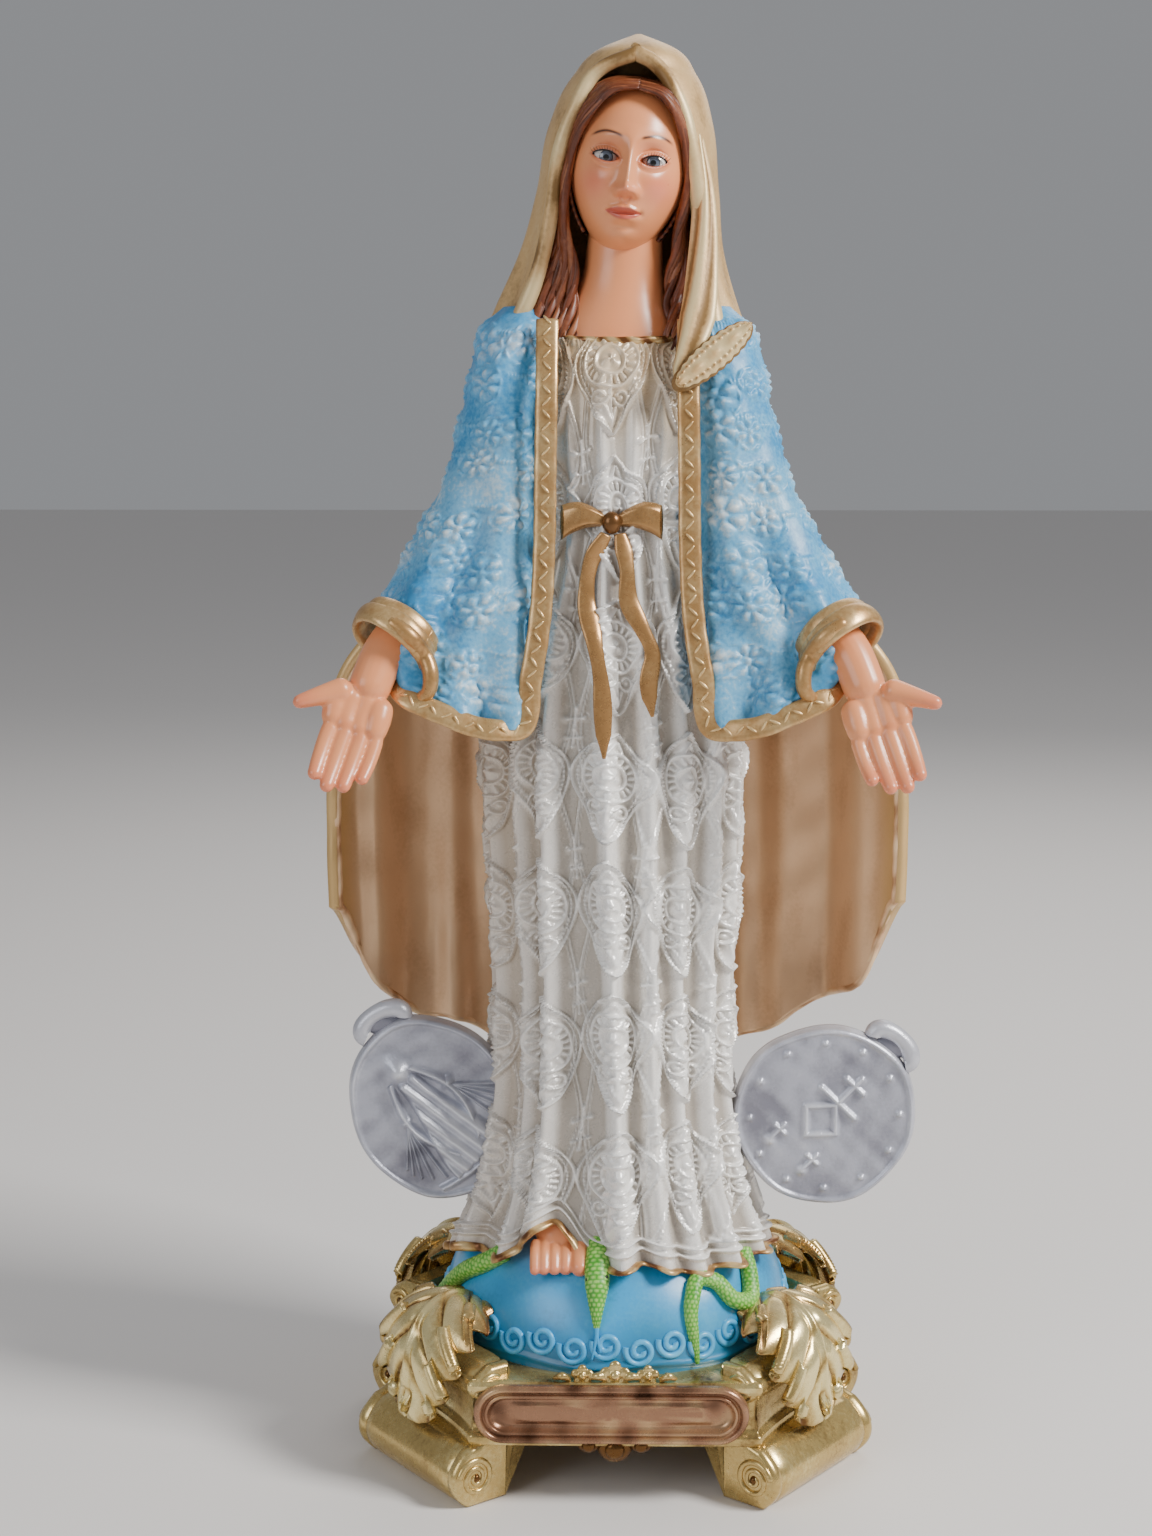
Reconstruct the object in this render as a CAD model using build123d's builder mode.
from build123d import *
import os
from math import cos, hypot, pi, radians, sin, sqrt

# Standing devotional figure of painted cast resin on a scrolled rococo base.
# Millimetres, +Z up, the figure faces -Y, and the origin is the middle of the footprint on the floor.
# Right and left are the figure's own, so her right side is at -X.

# ---- Driving dimensions ------------------------------------------------------------------
STATUE_HEIGHT = 400.0
BASE_WIDTH = 150.0
BASE_DEPTH = 120.0
FOOT_FRONT_X = 44.0          # where a corner foot ends on the front or rear face
FOOT_SIDE_Y = 20.0           # where a corner foot ends on the side
DECK_TOP = 36.0
DECK_UNDERSIDE = 26.0
APRON_BOTTOM = 17.0
PANEL_FACE_Y = -55.0

GLOBE_RADIUS = 50.5
GLOBE_CENTRE_Z = 38.0
GLOBE_TOP = 78.0
GLOBE_RISE = GLOBE_TOP - GLOBE_CENTRE_Z
WAVE_COUNT = 18
WAVE_HEIGHT = 42.0
WAVE_RADIUS = 4.4

NECKLINE = 318.0
WAIST = 269.0
BODY_Y = -4.0
MEDAL_THICKNESS = 5.0
BRAID_RADIUS = 2.4
HAND_THICKNESS = 7.5
EYE_RADIUS = 2.6
PIN_RADIUS = 1.0

RIGHT = -1
LEFT = 1
FRONT = -1
REAR = 1
CORNERS = {
    "front_right": (RIGHT, FRONT),
    "front_left": (LEFT, FRONT),
    "rear_right": (RIGHT, REAR),
    "rear_left": (LEFT, REAR),
}
SIDES = {"right": RIGHT, "left": LEFT}

# The head turns a little down and towards her left
HEAD_X = 3.0
HEAD_Y = -8.0
HEAD_Z = 364.0
HEAD_HALF_WIDTH = 16.0
HEAD_HALF_DEPTH = 18.5
HEAD_HALF_HEIGHT = 23.5
HEAD_LEAN = 7.0

os.makedirs("parts", exist_ok=True)


# ---- Helpers -----------------------------------------------------------------------------
def oval_points(half_width, half_depth, x=0.0, y=0.0):
    """Eight points round an oval, always from the same side, so that lofts don't twist."""
    angles = [radians(45 * step) for step in range(8)]
    return [(x + half_width * cos(a), y + half_depth * sin(a)) for a in angles]


def lofted(sections):
    """Solid through level ovals, each (height, centre x, centre y, half width, half depth)."""
    with BuildPart() as body:
        for height, x, y, half_width, half_depth in sections:
            with BuildSketch(Plane.XY.offset(height)):
                with BuildLine():
                    Spline(*oval_points(half_width, half_depth, x, y), periodic=True)
                make_face()
        loft()
    return body.part


def tube(points, radii, radius):
    """Round bar along straight runs joined by tangent arcs."""
    with BuildPart() as bar:
        with BuildLine() as route:
            FilletPolyline(*points, radius=radii)
        start = route.line @ 0
        with BuildSketch(Plane(origin=start, z_dir=route.line % 0)):
            Circle(radius)
        sweep()
    return bar.part


def largest_solid(part):
    """The main piece of a cut shape, without slivers."""
    return part.solids().sort_by(SortBy.VOLUME)[-1]


def mirrored(side, points):
    """Points given for her left side, moved to the side asked for."""
    return [(side * x, y, z) for x, y, z in points]


def globe_height(x, y):
    """Height of the globe's surface above a point of the plan."""
    return GLOBE_CENTRE_Z + GLOBE_RISE * sqrt(max(0.0, 1 - (x * x + y * y) / GLOBE_RADIUS**2))


def corner_plane(side, end):
    """Upright plane across a corner foot: x runs outwards, y up, z along the cut-off corner."""
    middle_x = (FOOT_FRONT_X + BASE_WIDTH / 2) / 2
    middle_y = (FOOT_SIDE_Y + BASE_DEPTH / 2) / 2
    run_x = BASE_WIDTH / 2 - FOOT_FRONT_X
    run_y = BASE_DEPTH / 2 - FOOT_SIDE_Y
    length = hypot(run_x, run_y)
    outward = Vector(side * run_y / length, end * run_x / length, 0)
    return Plane(
        origin=(side * middle_x, end * middle_y, 0),
        x_dir=outward,
        z_dir=outward.cross(Vector(0, 0, 1)),
    )


FOOT_LENGTH = hypot(BASE_WIDTH / 2 - FOOT_FRONT_X, BASE_DEPTH / 2 - FOOT_SIDE_Y)


# ---- Base --------------------------------------------------------------------------------
def corner_foot(side, end):
    """Scrolled corner foot: a floor roll, a notch above it, and a smaller roll at the deck."""
    roll_x = -9.0
    roll_z = 9.0
    section = corner_plane(side, end)
    with BuildPart() as foot:
        with BuildSketch(section):
            with BuildLine():
                Line((-18, 0), (-5, 0))
                ThreePointArc((-5, 0), (0, 8.5), (-6, 17))
                ThreePointArc((-6, 17), (-12.5, 20.5), (-14, 27))
                ThreePointArc((-14, 27), (-7.5, 33), (-13, 39))
                Line((-13, 39), (-19, 39))
                Line((-19, 39), (-20, DECK_TOP))
                Line((-20, DECK_TOP), (-25, DECK_TOP))
                Line((-25, DECK_TOP), (-25, 13))
                Line((-25, 13), (-18, 0))
            make_face()
        extrude(amount=FOOT_LENGTH / 2, both=True)
        for face_at in (FOOT_LENGTH / 2, -FOOT_LENGTH / 2):
            groove_depth = 1.0 if face_at < 0 else -1.0
            with BuildSketch(section.offset(face_at)):
                with Locations((roll_x, roll_z)):
                    Circle(5.6)
                    Circle(4.4, mode=Mode.SUBTRACT)
                    Circle(2.4)
                    Circle(1.2, mode=Mode.SUBTRACT)
            extrude(amount=groove_depth, mode=Mode.SUBTRACT)
    return foot.part


feet = {corner: corner_foot(*signs) for corner, signs in CORNERS.items()}

with BuildPart() as globe:
    with BuildSketch(Plane.XZ):
        with BuildLine():
            quarter = [
                (GLOBE_RADIUS * cos(radians(rise)), GLOBE_CENTRE_Z + GLOBE_RISE * sin(radians(rise)))
                for rise in (0, 22.5, 45, 67.5, 90)
            ]
            Spline(*quarter, tangents=[(0, 1), (-1, 0)])
            Line((0, GLOBE_TOP), (0, DECK_TOP))
            Line((0, DECK_TOP), (GLOBE_RADIUS, DECK_TOP))
            Line((GLOBE_RADIUS, DECK_TOP), (GLOBE_RADIUS, GLOBE_CENTRE_Z))
        make_face()
    revolve(axis=Axis.Z)

with BuildPart() as pedestal_body:
    # deck and apron: straight front and rear, sides drawn in between the corner feet
    with BuildSketch(Plane.XY.offset(APRON_BOTTOM)) as plan:
        with BuildLine():
            front_right = (-40, PANEL_FACE_Y)
            front_left = (40, PANEL_FACE_Y)
            side_front = (62, -22)
            side_rear = (62, 22)
            Line(front_right, front_left)
            Line(front_left, side_front)
            ThreePointArc(side_front, (56, 0), side_rear)
            Line(side_rear, (40, -PANEL_FACE_Y))
            Line((40, -PANEL_FACE_Y), (-40, -PANEL_FACE_Y))
            Line((-40, -PANEL_FACE_Y), (-62, 22))
            ThreePointArc((-62, 22), (-56, 0), (-62, -22))
            Line((-62, -22), front_right)
        make_face()
    extrude(amount=DECK_TOP - APRON_BOTTOM)
    # open underside
    with BuildSketch(Plane.XY.offset(APRON_BOTTOM)):
        RectangleRounded(92, 88, 12)
    extrude(amount=DECK_UNDERSIDE - APRON_BOTTOM, mode=Mode.SUBTRACT)
    # lobed drop in the middle of the front and rear aprons
    for face_y in (PANEL_FACE_Y, -PANEL_FACE_Y - 5):
        with BuildSketch(Plane.XZ.offset(-face_y)):
            with Locations((0, APRON_BOTTOM)):
                Circle(5)
            with Locations((-7, APRON_BOTTOM + 1), (7, APRON_BOTTOM + 1)):
                Circle(3.5)
        extrude(amount=-5)
    for foot in feet.values():
        add(foot, mode=Mode.SUBTRACT)

with BuildPart() as front_cartouche:
    with BuildSketch(Plane.XZ.offset(-PANEL_FACE_Y)):
        with Locations((-1, 27)):
            SlotOverall(72.6, 15)
    extrude(amount=2.2)
    with BuildSketch(Plane.XZ.offset(-PANEL_FACE_Y + 2.2)):
        with Locations((-1, 27.6)):
            SlotOverall(66, 9.4)
    extrude(amount=-1.1, mode=Mode.SUBTRACT)
    for foot in feet.values():
        add(foot, mode=Mode.SUBTRACT)

with BuildPart() as flower_cluster:
    # three small roses lying on the rim in front of the globe
    for flower_x in (-8.5, 0, 8.5):
        with BuildSketch(Plane.XY.offset(DECK_TOP)):
            with Locations((flower_x, -53)):
                Circle(1.6)
                with PolarLocations(2.2, 5):
                    Circle(1.7)
        extrude(amount=2.4)
    add(globe.part, mode=Mode.SUBTRACT)


def acanthus_leaf(side, end):
    """Fan-shaped acanthus leaf that rolls over the corner foot from the globe outwards."""
    section = corner_plane(side, end)
    leaf_plane = Plane(origin=section.origin, x_dir=section.z_dir, z_dir=section.x_dir)
    tip_sign = -1 if leaf_plane.y_dir.Z < 0 else 1
    with BuildPart() as leaf:
        with BuildSketch(section):
            with BuildLine():
                ThreePointArc((-27, 44), (-13, 42), (-2, 24))
                Line((-2, 24), (1.5, 22))
                Line((1.5, 22), (2.5, 25))
                ThreePointArc((2.5, 25), (-9, 46), (-27, 50))
                Line((-27, 50), (-27, 44))
            make_face()
        extrude(amount=20, both=True)
        with BuildSketch(leaf_plane):
            with Locations((0, tip_sign * 42)):
                Ellipse(9, 10)
            for fan_angle in (-62, -34, 0, 34, 62):
                reach = 17 - abs(fan_angle) / 14
                lobe_x = reach * 0.62 * sin(radians(fan_angle))
                lobe_z = 40 - reach * 0.72 * cos(radians(fan_angle))
                with Locations(Location((lobe_x, tip_sign * lobe_z, 0), (0, 0, tip_sign * fan_angle))):
                    Ellipse(4.6, reach * 0.62)
        extrude(amount=40, both=True, mode=Mode.INTERSECT)
        add(globe.part, mode=Mode.SUBTRACT)
        for foot in feet.values():
            add(foot, mode=Mode.SUBTRACT)
    return leaf.part


leaves = {corner: acanthus_leaf(*signs) for corner, signs in CORNERS.items()}

with BuildPart() as wave_scrolls:
    # curled waves round the foot of the globe
    for step in range(WAVE_COUNT):
        angle = 2 * pi * (step + 0.5) / WAVE_COUNT
        radial = Vector(cos(angle), sin(angle), 0)
        rim = GLOBE_RADIUS * sqrt(1 - ((WAVE_HEIGHT - GLOBE_CENTRE_Z) / GLOBE_RISE) ** 2)
        wave_plane = Plane(
            origin=radial * rim + Vector(0, 0, WAVE_HEIGHT),
            x_dir=(-sin(angle), cos(angle), 0),
            z_dir=radial,
        )
        with BuildSketch(wave_plane):
            Circle(WAVE_RADIUS)
            Circle(WAVE_RADIUS - 1.5, mode=Mode.SUBTRACT)
            Circle(1.4)
        extrude(amount=1.2)
        with BuildSketch(wave_plane):
            Circle(WAVE_RADIUS)
        extrude(amount=-2.5)
    add(globe.part, mode=Mode.SUBTRACT)
    add(pedestal_body.part, mode=Mode.SUBTRACT)
    add(flower_cluster.part, mode=Mode.SUBTRACT)
    for corner in CORNERS:
        add(leaves[corner], mode=Mode.SUBTRACT)
        add(feet[corner], mode=Mode.SUBTRACT)

# ---- Gown and foot -----------------------------------------------------------------------
gown_shape = lofted(
    [
        (56, 1, BODY_Y, 46, 37.5),
        (76, 0, BODY_Y, 40, 34),
        (100, -1, BODY_Y, 35, 32),
        (135, -1, BODY_Y, 33.5, 30),
        (174, -1, BODY_Y, 35, 29),
        (209, -1, BODY_Y, 36, 28),
        (240, -1, BODY_Y, 30, 27),
        (WAIST, -1, BODY_Y, 22, 25),
        (294, -1, BODY_Y, 25, 24),
        (NECKLINE - 6, -1, BODY_Y, 24, 20),
        (NECKLINE, 0, BODY_Y, 19, 16),
    ]
)

with BuildPart() as right_foot:
    # bare toes standing on the globe below the hem
    with BuildSketch(Plane.XY.offset(56)):
        with Locations((-15.5, -27)):
            Ellipse(8.5, 12)
        for toe in range(5):
            with Locations((-22 + 3.4 * toe, -37 - 1.6 * sin(pi * toe / 4))):
                Circle(2.4 if toe == 4 else 2.0)
    extrude(amount=12)
    add(globe.part, mode=Mode.SUBTRACT)

with BuildPart() as gown:
    add(gown_shape)
    add(globe.part, mode=Mode.SUBTRACT)
    # the hem opens over the toes
    with BuildSketch(Plane.XZ):
        with Locations((-15.5, 64)):
            Ellipse(10, 11)
    extrude(amount=60, mode=Mode.SUBTRACT)

with BuildPart() as foot_clear_of_gown:
    add(right_foot.part)
    add(gown.part, mode=Mode.SUBTRACT)

with BuildPart() as hem_trim:
    # gilt edge that follows the hem round the front of the globe
    with BuildSketch(Plane.XY.offset(56)):
        with Locations((1, BODY_Y)):
            Ellipse(47.5, 38.5)
            Ellipse(45.6, 36.6, mode=Mode.SUBTRACT)
        with Locations((0, 60)):
            Rectangle(120, 100, mode=Mode.SUBTRACT)
        with Locations((-15.5, -40)):
            Rectangle(20, 20, mode=Mode.SUBTRACT)
    extrude(amount=3.2)
    add(gown.part, mode=Mode.SUBTRACT)
    add(globe.part, mode=Mode.SUBTRACT)

# ---- Snake -------------------------------------------------------------------------------
snake_body_route = [
    (-33, -24, globe_height(-33, -24) + 1.5),
    (-42, -19, globe_height(-42, -19) + 1.2),
    (-48.5, -12, globe_height(-48.5, -12) + 1.0),
    (-51.5, -4, 42),
]
snake_tail_route = [
    (35.5, -22, globe_height(35.5, -22) + 1.5),
    (36.0, -33, globe_height(36.0, -33) + 1.5),
    (19.5, -41, globe_height(19.5, -41) + 1.5),
    (22.0, -47.5, globe_height(22.0, -47.5) + 1.0),
]

snake_body_bar = tube(snake_body_route, [3.0, 3.0], 2.6)
snake_tail_bar = tube(snake_tail_route, [4.0, 3.0], 2.3)

with BuildPart() as snake_body:
    add(snake_body_bar)
    add(globe.part, mode=Mode.SUBTRACT)
    add(wave_scrolls.part, mode=Mode.SUBTRACT)
    add(gown.part, mode=Mode.SUBTRACT)
    add(hem_trim.part, mode=Mode.SUBTRACT)

with BuildPart() as snake_tail:
    add(snake_tail_bar)
    add(globe.part, mode=Mode.SUBTRACT)
    add(wave_scrolls.part, mode=Mode.SUBTRACT)
    add(gown.part, mode=Mode.SUBTRACT)
    add(hem_trim.part, mode=Mode.SUBTRACT)

with BuildPart() as snake_head:
    # flattened head that hangs over the front of the globe
    for drop, half_width, half_depth in ((0, 2.6, 2.6), (8, 3.8, 3.2), (14, 3.6, 2.8), (20, 1.2, 1.0)):
        centre = Vector(-4.7, -36 - 0.62 * drop, 70 - 0.85 * drop)
        with BuildSketch(Plane(origin=centre, x_dir=(1, 0, 0), z_dir=(0, -0.62, -0.78))):
            with BuildLine():
                Spline(*oval_points(half_width, half_depth), periodic=True)
            make_face()
    loft()
    add(globe.part, mode=Mode.SUBTRACT)
    add(gown.part, mode=Mode.SUBTRACT)
    add(hem_trim.part, mode=Mode.SUBTRACT)
    add(foot_clear_of_gown.part, mode=Mode.SUBTRACT)

# ---- Mantle ------------------------------------------------------------------------------
def mantle_panel_shape(side):
    """Front of the mantle: falls from the shoulder and widens into the open sleeve."""
    return lofted(
        [
            (326, side * 25, -3, 8, 13),
            (314, side * 28, -4, 11, 18),
            (300, side * 30.5, -6, 11.5, 19),
            (280, side * 33.5, -9, 14, 19),
            (258, side * 39, -14, 19, 18),
            (242, side * 43.5, -19, 22, 17),
            (230, side * 44.5, -22, 21.5, 16),
            (216, side * 39, -27, 12, 13),
        ]
    )


def wrist_axis(side):
    """Direction of the forearm, down, outwards and forwards."""
    return Vector(side * 0.56, -0.50, -0.66).normalized()


def wrist_plane(side, along=0.0):
    """Plane across the wrist where the hand leaves the sleeve."""
    axis = wrist_axis(side)
    origin = Vector(side * 62, -34, 235) + axis * along
    return Plane(origin=origin, x_dir=Vector(0, 0, 1).cross(axis), z_dir=axis)


def left_hand_shape():
    """Open left hand held palm forward: wrist stub, palm, four fingers and a thumb turned out."""
    palm = Plane(origin=(68.5, -42.5, 219.5), x_dir=(0.93, 0, 0.30), z_dir=(-0.12, -0.90, 0.36))
    with BuildPart() as hand:
        with BuildSketch(palm):
            Ellipse(7.6, 9)
            for finger in range(4):
                reach = 8.4 if finger in (1, 2) else 7.0
                with Locations(Location((-5.4 + 3.6 * finger, -8.5, 0), (0, 0, 90 + 2 * (finger - 1.5)))):
                    SlotOverall(2 * reach, 3.5)
            with Locations(Location((8.2, -1.0, 0), (0, 0, -38))):
                SlotOverall(13, 4.2)
        extrude(amount=HAND_THICKNESS / 2, both=True)
        with BuildSketch(wrist_plane(LEFT, -9)):
            Circle(4.6)
        extrude(amount=20)
    return hand.part


def cuff_shape(side):
    """Gilt turned-back lip of the sleeve round the wrist."""
    with BuildPart() as cuff:
        with BuildSketch(wrist_plane(side, -7)):
            Circle(9.4)
            Circle(6.4, mode=Mode.SUBTRACT)
        extrude(amount=8, taper=-10)
    return cuff.part


def wrist_pin_shape(side):
    """Steel pin that holds a hand in its sleeve."""
    with BuildPart() as pin:
        with BuildSketch(wrist_plane(side, -18)):
            Circle(PIN_RADIUS)
        extrude(amount=22)
    return pin.part


MANTLE_EDGE = [
    (20.5, -20.5, 324),
    (19.5, -27.5, 300),
    (19.5, -30.5, 270),
    (20.0, -35.0, 248),
    (24.0, -38.0, 224),
    (34.0, -41.0, 214),
    (46.0, -39.0, 221),
    (56.0, -37.0, 232),
]
MANTLE_EDGE_BENDS = [20, 20, 12, 6, 4, 5]

mantle_trims = {}
mantle_panels = {}
cuffs = {}
hands = {}
pins = {}
for side_name, side in SIDES.items():
    pins[side_name] = wrist_pin_shape(side)

    with BuildPart() as cuff:
        add(cuff_shape(side))
    cuffs[side_name] = cuff.part

    hand_form = left_hand_shape()
    if side == RIGHT:
        hand_form = mirror(hand_form, about=Plane.YZ)
    with BuildPart() as hand:
        add(hand_form)
        add(cuffs[side_name], mode=Mode.SUBTRACT)
        add(pins[side_name], mode=Mode.SUBTRACT)
    hands[side_name] = hand.part

    with BuildPart() as trim:
        add(tube(mirrored(side, MANTLE_EDGE), MANTLE_EDGE_BENDS, BRAID_RADIUS))
        add(gown.part, mode=Mode.SUBTRACT)
        add(cuffs[side_name], mode=Mode.SUBTRACT)
        add(hands[side_name], mode=Mode.SUBTRACT)
    mantle_trims[side_name] = trim.part

    with BuildPart() as panel:
        add(mantle_panel_shape(side))
        add(gown.part, mode=Mode.SUBTRACT)
        add(mantle_trims[side_name], mode=Mode.SUBTRACT)
        add(cuffs[side_name], mode=Mode.SUBTRACT)
        add(hands[side_name], mode=Mode.SUBTRACT)
        add(pins[side_name], mode=Mode.SUBTRACT)
        # the sleeve is open round the wrist
        with BuildSketch(wrist_plane(side, -9)):
            Circle(9.4)
        extrude(amount=30, mode=Mode.SUBTRACT)
    mantle_panels[side_name] = largest_solid(panel.part)

mantle_outside = lofted([(50, 0, 0, 84, 38), (190, 0, 0, 84, 38), (258, 0, 0, 66, 34), (323, 0, 2, 43, 27)])
mantle_inside = lofted([(49, 0, 0, 79, 31), (190, 0, 0, 79, 31), (258, 0, 0, 61, 28), (324, 0, 2, 38, 21)])

with BuildPart() as mantle_back:
    # the mantle hangs from both arms round the back in one curved sheet
    add(mantle_outside)
    add(mantle_inside, mode=Mode.SUBTRACT)
    with Locations((0, 3 - 60, 200)):
        Box(200, 120, 400, mode=Mode.SUBTRACT)
    with BuildSketch(Plane.XZ):
        with BuildLine():
            Line((-33, 52), (33, 52))
            Line((33, 52), (35, 116))
            ThreePointArc((35, 116), (64, 130), (76, 166))
            ThreePointArc((76, 166), (80, 190), (74, 228))
            Line((74, 228), (60, 258))
            Line((60, 258), (40, 322))
            Line((40, 322), (-40, 322))
            Line((-40, 322), (-60, 258))
            Line((-60, 258), (-76, 228))
            ThreePointArc((-76, 228), (-82, 190), (-80, 158))
            ThreePointArc((-80, 158), (-66, 128), (-33, 116))
            Line((-33, 116), (-33, 52))
        make_face()
    extrude(amount=100, both=True, mode=Mode.INTERSECT)
    add(gown.part, mode=Mode.SUBTRACT)
    add(globe.part, mode=Mode.SUBTRACT)
    for side_name in SIDES:
        add(mantle_panels[side_name], mode=Mode.SUBTRACT)

# ---- Head, hair and veil -----------------------------------------------------------------
head_frame = Plane(
    origin=(HEAD_X, HEAD_Y, HEAD_Z),
    x_dir=(cos(radians(HEAD_LEAN)), 0, -sin(radians(HEAD_LEAN))),
    z_dir=(sin(radians(HEAD_LEAN)), 0, cos(radians(HEAD_LEAN))),
)


def head_ovals(sections, grow=0.0):
    """Solid through ovals across the leaning head: (height, y, half width, half depth)."""
    with BuildPart() as body:
        for height, y, half_width, half_depth in sections:
            with BuildSketch(head_frame.offset(height)):
                with BuildLine():
                    Spline(*oval_points(half_width + grow, half_depth + grow, 0, y), periodic=True)
                make_face()
        loft()
    return body.part


SKULL = [
    (-HEAD_HALF_HEIGHT, -6, 5, 5),
    (-19, -4, 10, 11),
    (-10, -1.5, 14, 16),
    (2, 0, HEAD_HALF_WIDTH, HEAD_HALF_DEPTH),
    (13, 1, 14.5, 17),
    (20, 1, 9.5, 11.5),
    (HEAD_HALF_HEIGHT, 1, 4, 5),
]

neck_shape = lofted(
    [
        (NECKLINE - 2, 0, BODY_Y - 1, 15, 12),
        (324, 0.5, BODY_Y, 11, 10.5),
        (334, 1.5, BODY_Y, 9.5, 10),
        (350, 2.5, -5, 9.5, 9.5),
    ]
)
eye_places = [head_frame.from_local_coords(Vector(side * 6.2, -HEAD_HALF_DEPTH + 2.2, 1)) for side in (-1, 1)]

with BuildPart() as glass_eye_right:
    with Locations(Location(eye_places[0])):
        Sphere(EYE_RADIUS)

with BuildPart() as glass_eye_left:
    with Locations(Location(eye_places[1])):
        Sphere(EYE_RADIUS)

with BuildPart() as head:
    # plain oval head with a small straight nose, on its neck
    add(head_ovals(SKULL))
    add(glass_eye_right.part, mode=Mode.SUBTRACT)
    add(neck_shape)
    with BuildSketch(Plane(origin=head_frame.from_local_coords(Vector(0, -HEAD_HALF_DEPTH + 1.5, 2)),
                           x_dir=head_frame.x_dir, z_dir=head_frame.z_dir)):
        Ellipse(1.2, 1.2)
    with BuildSketch(Plane(origin=head_frame.from_local_coords(Vector(0, -HEAD_HALF_DEPTH + 0.5, -6.5)),
                           x_dir=head_frame.x_dir, z_dir=head_frame.z_dir)):
        Ellipse(2.4, 2.4)
    loft()
    add(gown.part, mode=Mode.SUBTRACT)
    add(glass_eye_left.part, mode=Mode.SUBTRACT)

with BuildPart() as hair_cap:
    # parted hair round the face, with the face left clear in front
    add(head_ovals(SKULL[2:], grow=2.4))
    with BuildSketch(Plane.XZ.offset(-HEAD_Y + 4)):
        with Locations(Location((HEAD_X, HEAD_Z - 5, 0), (0, 0, -HEAD_LEAN))):
            Ellipse(13.2, 25)
    extrude(amount=40, mode=Mode.SUBTRACT)
    add(head.part, mode=Mode.SUBTRACT)


def hair_lock_shape(side):
    """Wavy lock that falls from the temple in front of the shoulder."""
    return lofted(
        [
            (NECKLINE + 1, side * 17, -15, 6, 3.5),
            (NECKLINE + 9, side * 15.5 + 1, -14, 7, 5),
            (NECKLINE + 20, side * 14 + 2, -12, 5, 6),
            (NECKLINE + 34, side * 14.5 + 3, -10, 3.5, 5),
        ]
    )


hair_locks = {}
for side_name, side in SIDES.items():
    with BuildPart() as lock:
        add(hair_lock_shape(side))
        add(head.part, mode=Mode.SUBTRACT)
        add(hair_cap.part, mode=Mode.SUBTRACT)
        add(gown.part, mode=Mode.SUBTRACT)
        add(mantle_panels[side_name], mode=Mode.SUBTRACT)
        add(mantle_trims[side_name], mode=Mode.SUBTRACT)
    hair_locks[side_name] = lock.part


def veil_form(grow):
    """Outside of the veil, from the shoulders to the crown, with its wall taken off by grow."""
    return lofted(
        [
            (316, 0, 6, 38 + grow, 27 + grow),
            (326, 0, 5, 34 + grow, 26 + grow),
            (342, 1, 3, 28 + grow, 25 + grow),
            (358, 2.5, 1, 24 + grow, 24 + grow),
            (376, 3.5, 0, 21.5 + grow, 23 + grow),
            (389, 4.5, 0, 16 + grow, 18 + grow),
            (396 + grow / 2, 5.2, -0.5, 11 + grow, 12.5 + grow),
            (STATUE_HEIGHT + grow, 5.5, -1, 5 + grow / 2, 6 + grow / 2),
        ]
    )


veil_wall = 4.0
veil_outside = veil_form(0)
veil_inside = veil_form(-veil_wall)
with BuildPart() as veil:
    add(veil_outside)
    add(veil_inside, mode=Mode.SUBTRACT)
    # open in front of the face and down to the neckline
    with BuildSketch(Plane.XZ.offset(2)):
        with BuildLine():
            Line((-31, 312), (26, 312))
            Line((26, 312), (22, 352))
            ThreePointArc((22, 352), (17.5, 378), (5, 394))
            ThreePointArc((5, 394), (-11, 378), (-18, 352))
            Line((-18, 352), (-31, 312))
        make_face()
    extrude(amount=60, mode=Mode.SUBTRACT)
    add(head.part, mode=Mode.SUBTRACT)
    add(hair_cap.part, mode=Mode.SUBTRACT)
    add(gown.part, mode=Mode.SUBTRACT)
    add(mantle_back.part, mode=Mode.SUBTRACT)
    for side_name in SIDES:
        add(mantle_panels[side_name], mode=Mode.SUBTRACT)
        add(mantle_trims[side_name], mode=Mode.SUBTRACT)
        add(hair_locks[side_name], mode=Mode.SUBTRACT)

with BuildPart() as veil_fold:
    # end of the veil brought forward over her left shoulder, with its tip turned back
    for height, x, y, half_width, half_depth in (
        (350, 23, -15, 2.4, 2.0),
        (335, 22.5, -19, 4.4, 2.4),
        (322, 21.5, -24, 6.5, 2.6),
        (312, 19.5, -28, 5.0, 2.2),
        (306, 17.5, -29, 1.5, 1.4),
    ):
        with BuildSketch(Plane.XY.offset(height)):
            with BuildLine():
                Spline(*oval_points(half_width, half_depth, x, y), periodic=True)
            make_face()
    loft()
    add(veil.part, mode=Mode.SUBTRACT)
    add(gown.part, mode=Mode.SUBTRACT)
    add(mantle_panels["left"], mode=Mode.SUBTRACT)
    add(mantle_trims["left"], mode=Mode.SUBTRACT)
    add(hair_locks["left"], mode=Mode.SUBTRACT)

with BuildPart() as veil_lace:
    # gilt lace facing on the turned-back tip
    with BuildSketch(Plane(origin=(25, -31, 313), x_dir=(0.75, 0.18, 0.62), z_dir=(0.1, -0.96, 0.2))):
        Ellipse(13, 4)
    extrude(amount=1.8, both=True)
    add(veil_fold.part, mode=Mode.SUBTRACT)
    add(mantle_panels["left"], mode=Mode.SUBTRACT)
    add(mantle_trims["left"], mode=Mode.SUBTRACT)
    add(gown.part, mode=Mode.SUBTRACT)

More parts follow.
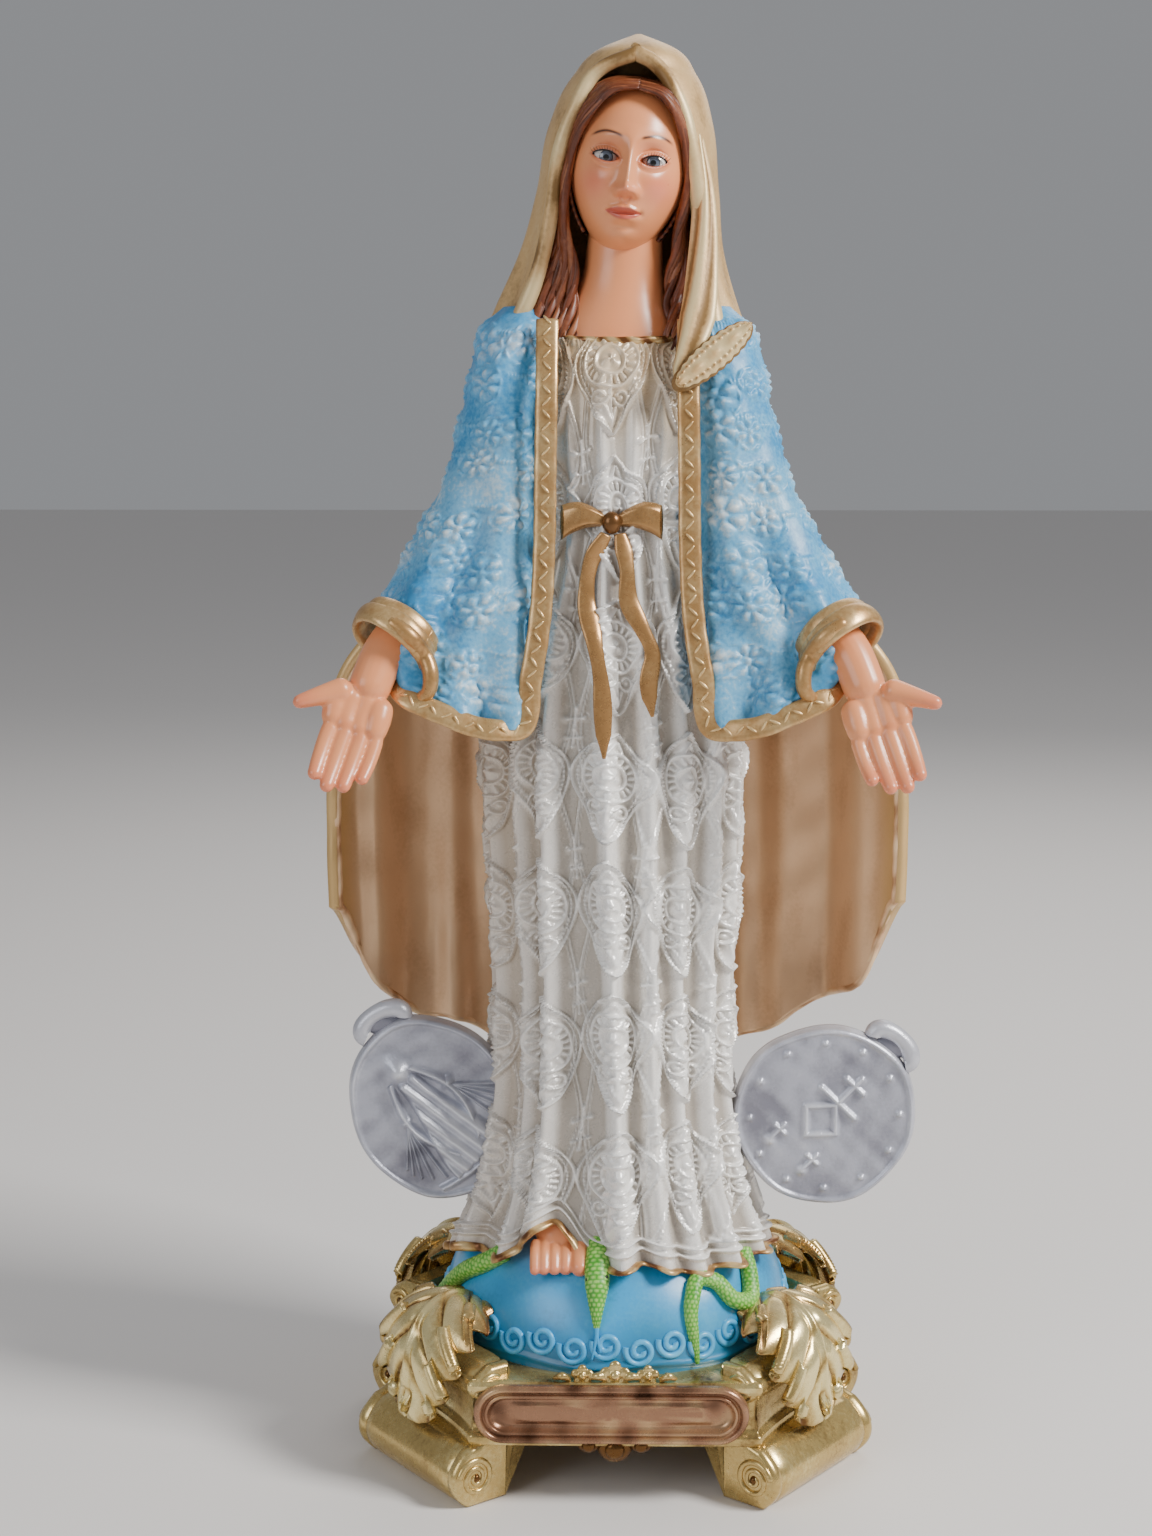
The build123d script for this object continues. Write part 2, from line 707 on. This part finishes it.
with BuildPart() as neckline_trim:
    # gilt edge of the gown across the chest
    with BuildSketch(Plane.XY.offset(NECKLINE - 1)):
        with Locations((0, BODY_Y)):
            Ellipse(20.6, 17.6)
            Ellipse(17.4, 14.4, mode=Mode.SUBTRACT)
        with Locations((0, 40)):
            Rectangle(80, 80, mode=Mode.SUBTRACT)
        with Locations((-30, 0), (30, 0)):
            Rectangle(24, 80, mode=Mode.SUBTRACT)
    extrude(amount=2.4)
    for neighbour in (gown, head, veil, veil_fold):
        add(neighbour.part, mode=Mode.SUBTRACT)
    for side_name in SIDES:
        add(mantle_panels[side_name], mode=Mode.SUBTRACT)
        add(mantle_trims[side_name], mode=Mode.SUBTRACT)
        add(hair_locks[side_name], mode=Mode.SUBTRACT)

# ---- Waist bow ---------------------------------------------------------------------------
BOW_PLANE = Plane(origin=(-1.5, -30.5, WAIST), x_dir=(1, 0, 0), z_dir=(0, -1, 0))

with BuildPart() as waist_bow:
    # two loops and the knot between them
    for side in (RIGHT, LEFT):
        with BuildSketch(BOW_PLANE):
            with BuildLine():
                Line((side * 1, -1.5), (side * 1, 1.5))
                ThreePointArc((side * 1, 1.5), (side * 8, 4), (side * 13.5, 4.4))
                ThreePointArc((side * 13.5, 4.4), (side * 14.5, 0), (side * 13, -4))
                ThreePointArc((side * 13, -4), (side * 7, -3), (side * 1, -1.5))
            make_face()
        extrude(amount=5)
    with BuildSketch(BOW_PLANE):
        RectangleRounded(5.2, 6.4, 1.6)
    extrude(amount=6.4)
    add(gown.part, mode=Mode.SUBTRACT)


def ribbon_tail(points):
    """Flat tail of the bow lying down the gown: the curve of its middle, extruded to its width."""
    with BuildPart() as tail:
        with BuildSketch(Plane.XZ.offset(26)):
            with BuildLine() as middle:
                Spline(*points)
            trace(middle.line, 4.4)
        extrude(amount=10)
        add(gown.part, mode=Mode.SUBTRACT)
        add(waist_bow.part, mode=Mode.SUBTRACT)
        # only a thin ribbon stands off the cloth
        with BuildSketch(Plane.YZ):
            Polygon((-29.6, 275), (-36.5, 200), (-60, 200), (-60, 275), align=None)
        extrude(amount=60, both=True, mode=Mode.SUBTRACT)
    return tail.part


ribbon_right = ribbon_tail([(-3.5, 265), (-8.5, 250), (-4.5, 228), (-3.2, 208)])
ribbon_left = ribbon_tail([(1.5, 265), (3, 250), (8.5, 236), (9.4, 219)])

# ---- Medals behind the skirt -------------------------------------------------------------
MEDALS = {
    "right": {"centre": (-51.7, -12, 100.7), "half_length": 28, "half_width": 24, "lean": 31},
    "left": {"centre": (59.7, -12, 99.5), "half_length": 26.5, "half_width": 26, "lean": -44},
}


def medal_plane(side_name):
    """Face of a medal, with y along its long axis towards the bail."""
    centre = MEDALS[side_name]["centre"]
    lean = radians(MEDALS[side_name]["lean"])
    return Plane(origin=centre, x_dir=(cos(lean), 0, sin(lean)), z_dir=(0, -1, 0))


medals = {}
bails = {}
reliefs = {}
for side_name in SIDES:
    face = medal_plane(side_name)
    half_length = MEDALS[side_name]["half_length"]
    half_width = MEDALS[side_name]["half_width"]

    with BuildPart() as medal:
        with BuildSketch(face):
            Ellipse(half_width, half_length)
        extrude(amount=-MEDAL_THICKNESS)
        with BuildSketch(face):
            Ellipse(half_width - 1.6, half_length - 1.6)
        extrude(amount=-1.0, mode=Mode.SUBTRACT)
        for neighbour in (gown, globe, mantle_back):
            add(neighbour.part, mode=Mode.SUBTRACT)
    medals[side_name] = largest_solid(medal.part)

    with BuildPart() as bail:
        with BuildSketch(face):
            with Locations((0, half_length + 1.5)):
                SlotOverall(15, 7.6)
        extrude(amount=-MEDAL_THICKNESS)
        add(medals[side_name], mode=Mode.SUBTRACT)
        add(mantle_back.part, mode=Mode.SUBTRACT)
    bails[side_name] = largest_solid(bail.part)

with BuildPart() as medal_figure:
    # robed figure with rays, raised on the medal at her right
    with BuildSketch(medal_plane("right").offset(-1.0)):
        with Locations((0, 14)):
            Circle(3.2)
        with BuildLine():
            ThreePointArc((-3.4, 12), (-6, 2), (-7, -15))
            ThreePointArc((-7, -15), (0, -17), (7, -15))
            ThreePointArc((7, -15), (6, 2), (3.4, 12))
            Line((3.4, 12), (-3.4, 12))
        make_face()
        for side in (RIGHT, LEFT):
            with Locations(Location((side * 9, 0, 0), (0, 0, 90 + side * 12))):
                SlotOverall(17, 1.6)
    extrude(amount=1.6)
    add(gown.part, mode=Mode.SUBTRACT)

with BuildPart() as medal_emblems:
    # cross on a bar over a lozenge, two small crosses and a ring of studs, on the medal at her left
    emblem_plane = medal_plane("left").offset(-1.0)
    with BuildSketch(emblem_plane):
        with PolarLocations(21.5, 12):
            Circle(1.1)
        with Locations((0, 4)):
            Rectangle(20, 1.5)
        with Locations((0, 11)):
            Rectangle(1.6, 14)
        with Locations((0, 13.5)):
            Rectangle(8, 1.6)
        with Locations(Location((0, -3, 0), (0, 0, 45))):
            Rectangle(8.5, 8.5)
            Rectangle(5.6, 5.6, mode=Mode.SUBTRACT)
        for emblem_x in (-7, 7):
            with Locations((emblem_x, -13)):
                Circle(2)
                Rectangle(1.2, 8)
                Rectangle(5, 1.2)
    extrude(amount=1.5)
    add(gown.part, mode=Mode.SUBTRACT)

# ---- Eyelashes ---------------------------------------------------------------------------
def lash_shape(side):
    """Thin curved lash glued along the upper lid of one eye."""
    lid = head_frame.from_local_coords(Vector(side * 6.2, -HEAD_HALF_DEPTH + 0.2, 2.6))
    with BuildPart() as lash:
        with BuildSketch(Plane(origin=lid, x_dir=head_frame.x_dir, z_dir=head_frame.z_dir)):
            SlotOverall(6.4, 2.2)
        extrude(amount=0.8)
        add(head.part, mode=Mode.SUBTRACT)
        add(glass_eye_right.part if side == RIGHT else glass_eye_left.part, mode=Mode.SUBTRACT)
    return lash.part


# ---- Write the pieces --------------------------------------------------------------------
PIECES = {
    "pedestal_body": pedestal_body.part,
    "front_cartouche": front_cartouche.part,
    "flower_cluster": flower_cluster.part,
    "globe": globe.part,
    "wave_scrolls": wave_scrolls.part,
    "snake_body": largest_solid(snake_body.part),
    "snake_head": largest_solid(snake_head.part),
    "snake_tail": largest_solid(snake_tail.part),
    "gown": gown.part,
    "hem_trim": hem_trim.part,
    "neckline_trim": neckline_trim.part,
    "right_foot": foot_clear_of_gown.part,
    "mantle_back": mantle_back.part,
    "head": head.part,
    "hair_cap": hair_cap.part,
    "glass_eye_right": glass_eye_right.part,
    "glass_eye_left": glass_eye_left.part,
    "veil": veil.part,
    "veil_fold": veil_fold.part,
    "veil_lace": veil_lace.part,
    "waist_bow": waist_bow.part,
    "ribbon_tail_right": ribbon_right,
    "ribbon_tail_left": ribbon_left,
    "medal_figure": medal_figure.part,
    "medal_emblems": medal_emblems.part,
}
for corner in CORNERS:
    PIECES[f"scroll_foot_{corner}"] = feet[corner]
    PIECES[f"acanthus_leaf_{corner}"] = leaves[corner]
for side_name, side in SIDES.items():
    PIECES[f"mantle_panel_{side_name}"] = mantle_panels[side_name]
    PIECES[f"mantle_trim_{side_name}"] = mantle_trims[side_name]
    PIECES[f"sleeve_cuff_{side_name}"] = cuffs[side_name]
    PIECES[f"hand_{side_name}"] = hands[side_name]
    PIECES[f"wrist_pin_{side_name}"] = pins[side_name]
    PIECES[f"hair_lock_{side_name}"] = hair_locks[side_name]
    PIECES[f"eyelashes_{side_name}"] = lash_shape(side)
    PIECES[f"medal_{side_name}"] = medals[side_name]
    PIECES[f"medal_bail_{side_name}"] = bails[side_name]

for piece_name, piece in PIECES.items():
    piece.label = piece_name
    export_step(piece, f"parts/{piece_name}.step")
